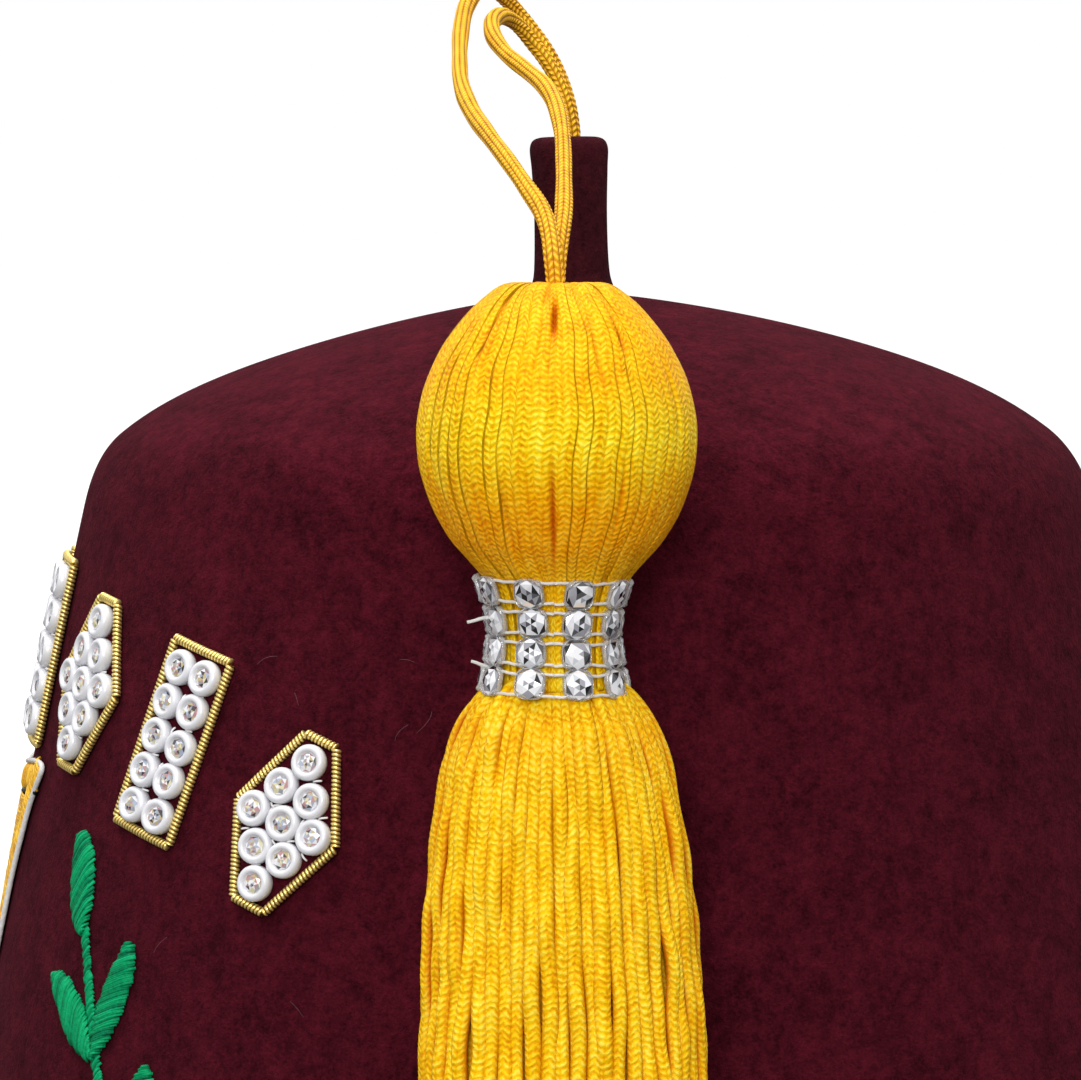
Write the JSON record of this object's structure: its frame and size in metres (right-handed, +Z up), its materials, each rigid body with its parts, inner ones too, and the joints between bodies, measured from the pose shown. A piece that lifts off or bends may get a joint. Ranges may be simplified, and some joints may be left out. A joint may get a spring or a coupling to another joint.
{
  "type": "fez hat",
  "caption": "Hollow oval felt fez with a felt stem, jewelled and stitched ornaments round its front, and a ball-headed tassel on a looped cord.",
  "frame": {"origin": "middle of the oval head opening, in the plane of the rim that the hat rests on", "axes": "+Z up through the crown; the front of the hat faces -Y; +X is the wearer's left, where the tassel hangs"},
  "size_m": [0.208, 0.2064, 0.1972],
  "materials": {
    "felt": "matte",
    "tassel_yarn": "satin",
    "loop_cord": "matte",
    "crystal_band": "gloss",
    "sewn_stones": "gloss",
    "gold_stitching": "satin",
    "green_stitching": "satin"
  },
  "bodies": {
    "root": {"crown": "felt", "stem": "felt", "tassel_head": "tassel_yarn", "tassel_collar": "crystal_band", "tassel_skirt": "tassel_yarn", "loop_strand_outer": "loop_cord", "loop_strand_inner": "loop_cord", "baton_inner_left": "sewn_stones", "baton_inner_right": "sewn_stones", "lozenge_inner_left": "sewn_stones", "lozenge_inner_right": "sewn_stones", "baton_outer_left": "sewn_stones", "baton_outer_right": "sewn_stones", "lozenge_outer_left": "sewn_stones", "lozenge_outer_right": "sewn_stones", "crest": "gold_stitching", "sprig_left": "green_stitching", "sprig_right": "green_stitching"}
  },
  "joints": []
}
